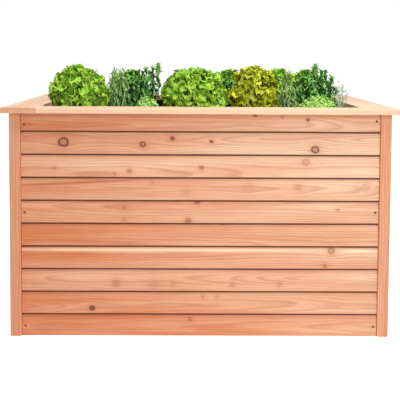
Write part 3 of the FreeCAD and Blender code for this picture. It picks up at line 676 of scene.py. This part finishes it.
def placeCopy(pattern, base, direction, facing, scale):
    # a copy with its own mesh: Y of the leaf along direction, its face towards facing
    along = direction.normalized()
    face = (facing - along * facing.dot(along)).normalized()
    side = along.cross(face)
    turn = Matrix((side, along, face)).transposed().to_4x4()
    copy = pattern.copy()
    copy.data = pattern.data.copy()
    copy.data.transform(Matrix.Translation(base) @ turn @ Matrix.Diagonal((*scale, 1)))
    bpy.context.collection.objects.link(copy)
    return copy


def joined(copies, name):
    clearSelection()
    for copy in copies:
        copy.select_set(True)
    bpy.context.view_layer.objects.active = copies[0]
    bpy.ops.object.join()
    whole = copies[0]
    whole.name = name
    whole.data.name = name
    return whole


def fitted(plant, low, high):
    # stretch the plant about its foot to the room that it is given
    xs, ys, zs = zip(*[vertex.co for vertex in plant.data.vertices])
    scale = (
        (high.x - low.x) / (max(xs) - min(xs)),
        (high.y - low.y) / (max(ys) - min(ys)),
        (high.z - soilZ) / (max(zs) - soilZ),
    )
    middle = Vector(((max(xs) + min(xs)) / 2, (max(ys) + min(ys)) / 2, soilZ))
    there, back = Matrix.Translation(footOf(low, high)), Matrix.Translation(-middle)
    plant.data.transform(there @ Matrix.Diagonal((*scale, 1)) @ back)
    return plant


lettuce = dict(
    leafGrid=(9, 6), leaves=300,
    leafMm=38,               # across a frilled leaf end
    reachMm=42,              # from its base inside the head to its tip
    stray=0.85,              # how far a leaf turns from its clump's own way
    fullness=0.4,            # how far the leaves fill the hollows between clumps
    heartShare=0.42,         # height of the heart of the head
    heartSize=0.84,
    ruffle=0.62, ruffleMm=13.0,
    curls=(0.5, 0.8, 1.1),
)


def rosette(name, patterns, low, high, surface, luck):
    # frilled leaf ends spread evenly over the head, standing out from its clumps
    foot, up = footOf(low, high), Vector((0, 0, 1))
    heart = foot + Vector((0, 0, (high.z - soilZ) * lettuce["heartShare"]))
    copies = []
    for number in range(lettuce["leaves"]):
        angle = number * goldenAngle + luck.uniform(-0.15, 0.15)
        # from somewhat below the heart to straight up
        out = pointing(angle, math.asin(-0.42 + 1.42 * (number + 0.5) / lettuce["leaves"]))
        end, normal = surface.ray_cast(heart + out * 0.4, -out)[:2]
        if end is None:
            continue
        reachZ = high.z - heart.z if out.z > 0 else heart.z - soilZ
        dome = heart + Vector((out.x * (high.x - low.x) / 2, out.y * (high.y - low.y) / 2, out.z * reachZ))
        end = end.lerp(dome, lettuce["fullness"])
        stray = Vector([luck.uniform(-1, 1) for axis in "xyz"]) * lettuce["stray"]
        direction = (normal + out * 0.5 + stray + up * 0.25).normalized()
        reach = lettuce["reachMm"] * mm * luck.uniform(0.85, 1.15)
        width = lettuce["leafMm"] * mm * luck.uniform(0.8, 1.25)
        base = end - normal * mm * luck.uniform(0, 6) - direction * reach
        facing = up + out.cross(up) * luck.uniform(-1, 1) - out * luck.uniform(0, 1)
        copies.append(placeCopy(luck.choice(patterns), base, direction, facing, (width, reach, width)))
    # crowded leaf bases fill the head
    mesh = bpy.data.meshes.new("heart")
    corners = [foot + (point - foot) * lettuce["heartSize"] for point in surface.points]
    mesh.from_pydata(corners, [], surface.faces)
    core = bpy.data.objects.new("heart", mesh)
    bpy.context.collection.objects.link(core)
    return joined([*copies, core], name)


def lettuceOutline(run):
    # narrow at the foot, a broad fan at the tip
    return 0.10 + 0.44 * min(1.0, run * 1.25) ** 1.3 * (1 - max(0.0, run - 0.75) * 1.1)


def makeLettuces():
    luck = random.Random(12)
    patterns = [
        shapedLeaf(f"lettuceLeaf{number}", *lettuce["leafGrid"], lettuceOutline, 0.5, number + 1,
                   ruffle=lettuce["ruffle"], ruffleMm=lettuce["ruffleMm"], curl=curl)
        for number, curl in enumerate(lettuce["curls"])
    ]
    green = leafMaterial("crispGreenLeaf", "#A9D340", "#7AB42A", "#2F6416", "#B8D670", spread=0.5)
    yellow = leafMaterial("goldenLeaf", "#CCD128", "#9DA914", "#4A5A12", "#D2D86A", spread=0.6)
    beds = (
        ("curly_lettuce_left", green), ("curly_lettuce_middle", green), ("yellow_lettuce", yellow),
        ("middle_row_lettuces", green), ("back_row_lettuces", green),
    )
    for node, material in beds:
        plants = [fitted(rosette(node, patterns, low, high, surface, luck), low, high)
                  for low, high, surface in solidsOf(node)]
        finishPlant(plants, node, material)
    for pattern in patterns:
        bpy.data.objects.remove(pattern)
    print("lettuces done")


def finishPlant(parts, node, material):
    plant = joined(parts, f"{node}_leaves") if len(parts) > 1 else parts[0]
    plant.name = f"{node}_leaves"
    setMaterial(plant, material)
    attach(plant, "root")
    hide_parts(node)


class Surface:
    # a form's own points and faces, and where a ray meets them
    def __init__(self, points, faces):
        self.points, self.faces = points, faces
        self.ray_cast = BVHTree.FromPolygons(points, faces).ray_cast


def solidsOf(node):
    # the box and the surface of each separate plant form in a node, from left to right
    copy = nodes[node].copy()
    copy.data = nodes[node].data.copy()
    bpy.context.collection.objects.link(copy)
    clearSelection()
    copy.select_set(True)
    bpy.context.view_layer.objects.active = copy
    bpy.ops.object.mode_set(mode="EDIT")
    bpy.ops.mesh.select_all(action="SELECT")
    bpy.ops.mesh.remove_doubles(threshold=0.00005)
    bpy.ops.mesh.separate(type="LOOSE")
    bpy.ops.object.mode_set(mode="OBJECT")
    found = []
    for part in list(bpy.context.selected_objects):
        corners = [Vector(v.co) for v in part.data.vertices]
        low = Vector(min(c[axis] for c in corners) for axis in range(3))
        high = Vector(max(c[axis] for c in corners) for axis in range(3))
        found.append((low, high, Surface(corners, [tuple(face.vertices) for face in part.data.polygons])))
        bpy.data.objects.remove(part)
    return sorted(found, key=lambda form: form[0].x)


herbs = dict(
    leafGrid=(3, 4),
    stemSides=5,
    droop=0.35,
    bare=0.12,               # share of a stem without leaves, from the ground
)


def herbOutline(run, width=0.32):
    return 0.02 + width * math.sin(math.pi * min(1.0, run * 0.96 + 0.02)) ** 0.8


def narrowOutline(run):
    return herbOutline(run, 0.12)


def stemPattern():
    clearSelection()
    bpy.ops.mesh.primitive_cone_add(vertices=herbs["stemSides"], radius1=0.01, radius2=0.005, depth=1,
                                    location=(0, 0, 0.5))
    stem = bpy.context.object
    bpy.ops.object.transform_apply(location=True)
    # a leaf runs along Y, so the stem does too
    stem.data.transform(Matrix.Rotation(math.radians(-90), 4, "X"))
    return stem


def bush(name, leaf, stem, foot, radius, height, luck, habit):
    stems, pairs, leafMm = habit["stems"], habit.get("pairs", 6), habit["leafMm"]
    spreadAngle, bare = habit.get("spreadAngle", 38), herbs["bare"]
    copies = []
    for number in range(stems):
        angle = number * goldenAngle + luck.uniform(-0.3, 0.3)
        share = math.sqrt((number + 0.5) / stems)
        tilt = math.radians(spreadAngle) * share * luck.uniform(0.8, 1.1)
        around = pointing(angle)
        direction = Vector((0, 0, math.cos(tilt))) + around * math.sin(tilt)
        base = foot + around * radius * 0.25 * share
        reach = height * luck.uniform(0.72, 1.0) * (1 - 0.25 * share)
        copies.append(placeCopy(stem, base, direction, around, (reach * 0.12, reach, reach * 0.12)))
        turn = luck.uniform(0, math.pi)
        for level in range(pairs):
            along = bare + (1 - bare) * (level + luck.uniform(-0.2, 0.2) + 0.5) / pairs
            at = base + direction * reach * along
            turn += math.pi / 2 + luck.uniform(-0.3, 0.3)
            side = direction.orthogonal().normalized()
            side.rotate(Matrix.Rotation(turn, 3, direction))
            size = leafMm * mm * luck.uniform(0.75, 1.15) * (1.1 - 0.45 * along)
            for way in (1, -1):
                outward = side * way + direction * luck.uniform(0.1, 0.8)
                facing = direction - side * way * herbs["droop"]
                copies.append(placeCopy(leaf, at, outward, facing, (size, size, size)))
        tip = base + direction * reach
        size = leafMm * mm * 0.7
        for step in range(3):
            side = direction.orthogonal().normalized()
            side.rotate(Matrix.Rotation(step * 2.1 + turn, 3, direction))
            facing = -side + direction * 0.2
            copies.append(placeCopy(leaf, tip, direction + side * 0.45, facing, (size, size, size)))
    return joined(copies, name)


# spreadAngle is the tilt of the outermost stems in degrees, and shootAt is where a
# young shoot stands, as a share of the half width to the right
herbPlants = (
    dict(node="oregano_left", stems=20, leafMm=54, shootAt=0.8),
    dict(node="oregano_right", stems=24, leafMm=54, shootAt=0.1),
    dict(node="middle_row_herbs", stems=20, leafMm=50),
    dict(node="back_row_herbs", stems=20, leafMm=50),
    dict(node="sage_sprigs", wide=False, stems=20, leafMm=72, tone="grey", slot="grey_leaf", spreadAngle=56),
    dict(node="mint_sprigs", wide=False, stems=20, leafMm=66, tone="grey", spreadAngle=56),
    dict(node="silver_herb", wide=False, stems=9, pairs=10, leafMm=34, tone="silver", slot="grey_leaf"),
)

herbTones = dict(
    dark=dict(tip="#93CB62", middle="#4C8D39", base="#22521F", rib="#A8CF86", spread=0.6),
    grey=dict(tip="#BCD688", middle="#7DAA5C", base="#456F3C", rib="#DCE8C4", spread=0.5),
    silver=dict(tip="#DCE7D2", middle="#BDD0B5", base="#88A886", rib="#EEF4EA", spread=0.3),
)


shoot = dict(
    levels=6, leaves=3,
    below=0.062,             # its foot under the top of the plant
    step=0.007,              # from one level to the next
    leafSize=0.030, taper=0.0025,
    clear=0.025,             # how far it stands over the older leaves
)


def youngShoot(leaf, foot, low, high, across):
    # a pale new shoot stands over the older leaves
    x, y = foot.x + across * (high.x - low.x) / 2, foot.y - (high.y - low.y) * 0.3
    base, up = Vector((x, y, high.z - shoot["below"])), Vector((0, 0, 1))
    copies = []
    for level in range(shoot["levels"]):
        size = shoot["leafSize"] - shoot["taper"] * level
        at = base + up * (shoot["step"] * level)
        for side in range(shoot["leaves"]):
            out = pointing(level * 0.9 + side * 2.1)
            copies.append(placeCopy(leaf, at, out * 0.5 + up, up - out, (size, size, size)))
    return copies


def makeHerbs():
    luck = random.Random(77)
    broad = shapedLeaf("broadHerbLeaf", *herbs["leafGrid"], herbOutline, 0.5, 5, curl=0.5, thickMm=0)
    narrow = shapedLeaf("narrowHerbLeaf", *herbs["leafGrid"], narrowOutline, 0.8, 6, curl=0.6, thickMm=0)
    # young leaves are as pale all over as the tips of old ones
    young = broad.copy()
    young.data = broad.data.copy()
    for corner in young.data.uv_layers.active.data:
        corner.uv.y = 1
    stem = stemPattern()
    tones = {tone: leafMaterial(f"{tone}HerbLeaf", roughness=0.55, **colours)
             for tone, colours in herbTones.items()}
    for plant in herbPlants:
        node, parts = plant["node"], []
        leaf = broad if plant.get("wide", True) else narrow
        for low, high, surface in solidsOf(node):
            foot = footOf(low, high)
            whole = bush(node, leaf, stem, foot, (high.x - low.x) / 2, high.z - soilZ, luck, plant)
            if "shootAt" in plant:
                fitted(whole, low, high - Vector((0, 0, shoot["clear"])))
                whole = joined([whole, *youngShoot(young, foot, low, high, plant["shootAt"])], node)
            parts.append(fitted(whole, low, high))
        finishPlant(parts, node, tones[plant.get("tone", "dark")])
    for pattern in (broad, narrow, young, stem):
        bpy.data.objects.remove(pattern)
    print("herbs done")


mound = dict(leaves=900, leafMm=11, coreSize=0.92)


def makeMounds():
    luck = random.Random(41)
    leaf = shapedLeaf("moundLeaf", 2, 3, herbOutline, 0.4, 9, curl=0.5, thickMm=0)
    material = leafMaterial("softMoundLeaf", "#B7E07A", "#A5D468", "#93C95A", "#C2E696", roughness=0.6)
    for node in ("herb_mound_left", "herb_mound_right"):
        low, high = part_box(node)
        foot, half, height = footOf(low, high), (high - low) / 2, high.z - soilZ
        copies = []
        for number in range(mound["leaves"]):
            out = pointing(number * goldenAngle, math.asin((number + 0.5) / mound["leaves"]))
            spot = Vector((out.x * half.x, out.y * half.y, out.z * height)) * luck.uniform(0.90, 0.98)
            lean = Vector((luck.uniform(-1, 1), luck.uniform(-1, 1), luck.uniform(0, 1)))
            size = mound["leafMm"] * mm * luck.uniform(0.8, 1.3)
            copies.append(placeCopy(leaf, foot + spot, out + lean * 0.9, out, (size * 1.3, size, size)))
        # a dark core keeps the eye from seeing through
        clearSelection()
        bpy.ops.mesh.primitive_uv_sphere_add(segments=24, ring_count=12, radius=1)
        core = bpy.context.object
        bpy.ops.object.mode_set(mode="EDIT")
        bpy.ops.mesh.select_all(action="SELECT")
        bpy.ops.mesh.bisect(plane_co=(0, 0, 0), plane_no=(0, 0, -1), use_fill=True, clear_outer=True)
        bpy.ops.object.mode_set(mode="OBJECT")
        coreSize = [side * mound["coreSize"] for side in (half.x, half.y, height)]
        core.data.transform(Matrix.Translation(foot) @ Matrix.Diagonal((*coreSize, 1)))
        plant = fitted(joined([*copies, core], node), low, high)
        finishPlant([plant], node, material)
    bpy.data.objects.remove(leaf)
    print("mounds done")


# ---- studio ----

studio = dict(
    cameraAt=(-0.050, -4.326, 0.987), pitch=4.77, yaw=-0.73, roll=0.33, lens=97.6, shift=-0.14,
    key=dict(at=(0.8, -3.2, 1.9), aim=(0.2, -0.6, 0.5), size=1.2, watts=38),
    top=dict(at=(0.5, -1.5, 4.2), aim=(0.0, -0.3, 0.8), size=2.0, watts=118),
    fill=dict(at=(3.2, -1.0, 2.2), aim=(0, 0, 0.4), size=2.5, watts=12),
    ambient=0.30,            # what the room gives as light, next to 1 as it is seen
    floorSize=40, floorDrop=0.0005, floorGlow=0.8,
)


def lookedAt(tree):
    # 1 where the eye falls, straight or by a mirror or glass, and 0 for light on its way
    rays, maths = addNode(tree, "ShaderNodeLightPath").outputs, mathsIn(tree)
    seen = maths("MAXIMUM", rays["Is Camera Ray"], rays["Is Glossy Ray"])
    return maths("MAXIMUM", seen, rays["Is Transmission Ray"])


def makeStudio():
    data = bpy.data.cameras.new("camera")
    camera = bpy.data.objects.new("camera", data)
    bpy.context.collection.objects.link(camera)
    data.lens, data.sensor_width = studio["lens"], 36
    data.shift_y = studio["shift"]
    pitch, yaw, roll = (math.radians(studio[name]) for name in ("pitch", "yaw", "roll"))
    upright = Matrix.Rotation(math.pi / 2 - pitch, 4, "X")
    turn = Matrix.Rotation(yaw, 4, "Z") @ upright @ Matrix.Rotation(roll, 4, "Z")
    camera.matrix_world = Matrix.Translation(studio["cameraAt"]) @ turn
    bpy.context.scene.camera = camera
    for name in ("key", "top", "fill"):
        lamp = studio[name]
        light = bpy.data.lights.new(name, "AREA")
        light.shape = "DISK"
        light.size = lamp["size"]
        light.energy = lamp["watts"]
        obj = bpy.data.objects.new(name, light)
        bpy.context.collection.objects.link(obj)
        obj.location = lamp["at"]
        obj.rotation_euler = (Vector(lamp["aim"]) - Vector(lamp["at"])).to_track_quat("-Z", "Y").to_euler()
    world = bpy.data.worlds.new("paleRoom")
    bpy.context.scene.world = world
    world.use_nodes = True
    tree = world.node_tree
    level = addNode(tree, "ShaderNodeMapRange",
                    {"Value": lookedAt(tree), "To Min": studio["ambient"], "To Max": 1.0})
    background = tree.nodes["Background"]
    background.inputs["Color"].default_value = hexColour("#FFFFFF")
    tree.links.new(level.outputs["Result"], background.inputs["Strength"])
    # pale floor that keeps the shadow and reads as white
    clearSelection()
    bpy.ops.mesh.primitive_plane_add(size=studio["floorSize"], location=(0, 0, -studio["floorDrop"]))
    floor = bpy.context.object
    floor.name = "floor"
    material, tree, shader = newMaterial("paleFloor", Roughness=0.9)
    shader.inputs["Base Color"].default_value = hexColour("#F2F2F2")
    shader.inputs["Emission Color"].default_value = hexColour("#FFFFFF")
    glow = mathsIn(tree)("MULTIPLY", lookedAt(tree), studio["floorGlow"])
    tree.links.new(glow, shader.inputs["Emission Strength"])
    setMaterial(floor, material)
    bpy.context.scene.view_settings.view_transform = "Standard"
    print("studio done")


makeWalls()
makeFraming()
makeHardware()
makeSoil()
makeLettuces()
makeHerbs()
makeMounds()
makeStudio()
